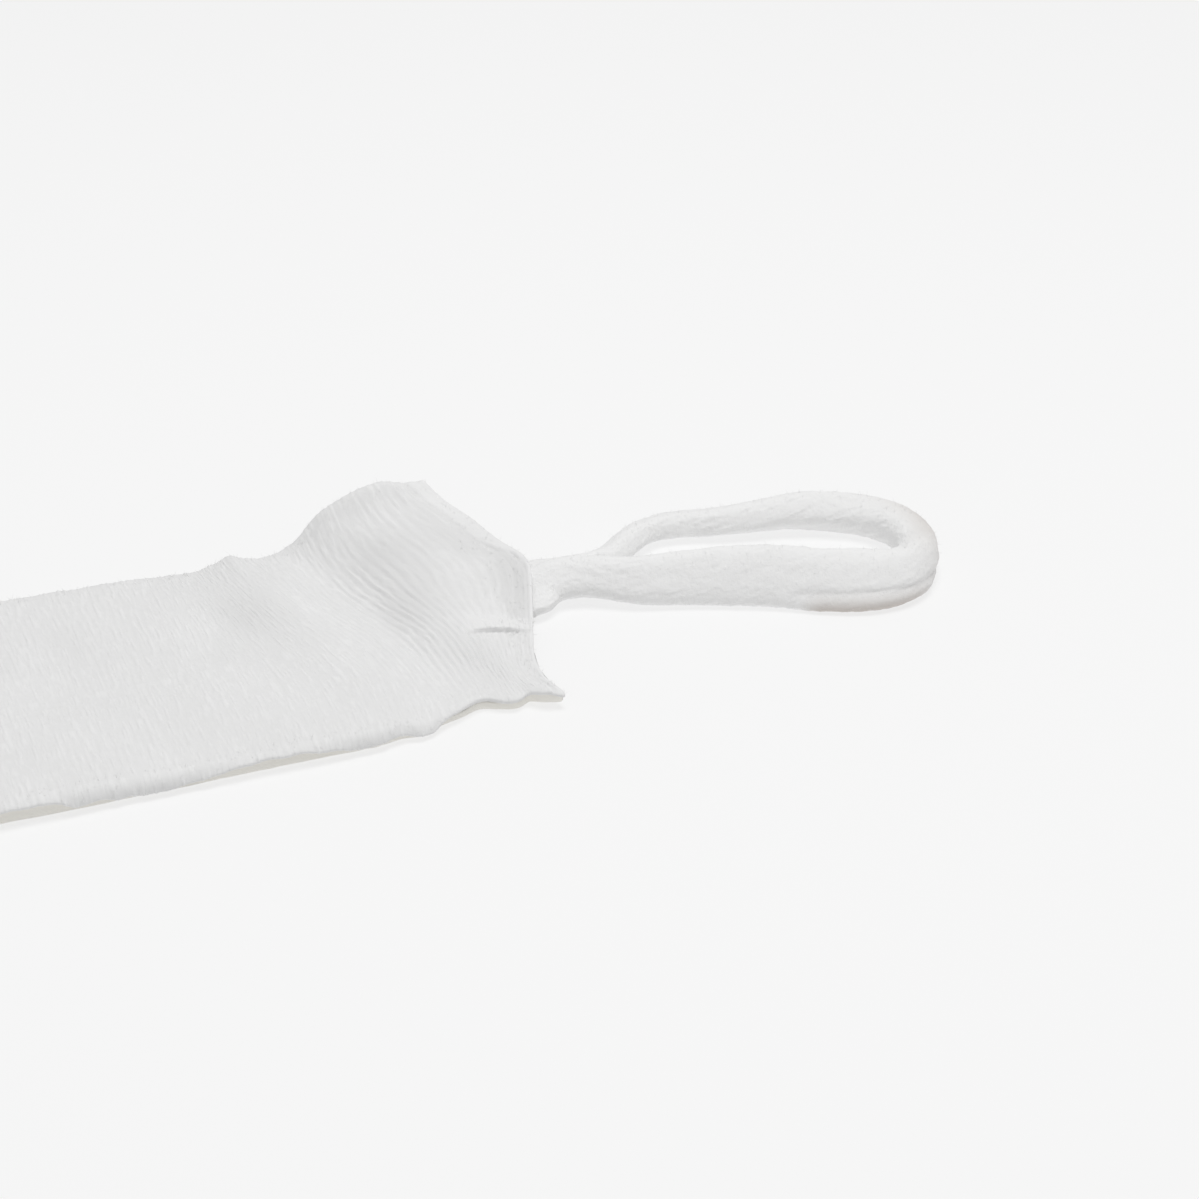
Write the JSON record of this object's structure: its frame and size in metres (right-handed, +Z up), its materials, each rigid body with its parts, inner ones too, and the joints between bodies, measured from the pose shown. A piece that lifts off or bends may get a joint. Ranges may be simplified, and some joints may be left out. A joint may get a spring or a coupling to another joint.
{
  "type": "sock aid",
  "caption": "Soft flexible sock aid lying flat: a ribbed knit strip with a firm padded core, sides that curl up into a trough, and a soft cotton cord pull loop at one end.",
  "frame": {"origin": "middle of the strip's length and width, on the surface that it lies on (the pull cord not counted)", "axes": "+X along the strip to the pull loop, +Y across it to the left side, whose end corner rises, +Z up"},
  "size_m": [0.4695, 0.115, 0.024],
  "materials": {
    "rib_knit": "white ribbed cotton knit",
    "lining_weave": "smooth cream woven lining",
    "pad_foam": "thin soft foam",
    "stay_plastic": "thin flexible polypropylene sheet",
    "cotton_cord": "soft brushed cotton cord",
    "tape": "woven cotton tape",
    "thread": "white sewing thread"
  },
  "bodies": {
    "centre": {"lining_centre": "lining_weave", "stay_centre": "stay_plastic", "pad_centre": "pad_foam", "knit_centre": "rib_knit", "hem_centre": "rib_knit", "toe_seam": "thread", "pocket_seam_far": "thread", "pocket_seam_near": "thread", "anchor_tape": "tape", "cord_tail_near": "cotton_cord", "cord_tail_far": "cotton_cord", "bar_tacks": "thread"},
    "left_side": {"lining_left": "lining_weave", "stay_left": "stay_plastic", "pad_left": "pad_foam", "knit_left": "rib_knit", "hem_left": "rib_knit", "side_seam_left": "thread"},
    "right_side": {"lining_right": "lining_weave", "stay_right": "stay_plastic", "pad_right": "pad_foam", "knit_right": "rib_knit", "hem_right": "rib_knit", "side_seam_right": "thread"},
    "pull_loop": {"pull_cord": "cotton_cord"}
  },
  "joints": [
    {"name": "left_side_curl", "type": "hinge", "parent": "centre", "child": "left_side", "pos_m": [0, 0.02, 0.007], "axis": [1, 0, 0], "range_deg": [0, 60]},
    {"name": "right_side_curl", "type": "hinge", "parent": "centre", "child": "right_side", "pos_m": [0, -0.02, 0.007], "axis": [-1, 0, 0], "range_deg": [0, 60]},
    {"name": "pull_loop_lift", "type": "hinge", "parent": "centre", "child": "pull_loop", "pos_m": [0.1653, 0.0059, 0.0132], "axis": [0, -1, 0], "range_deg": [0, 100]}
  ]
}
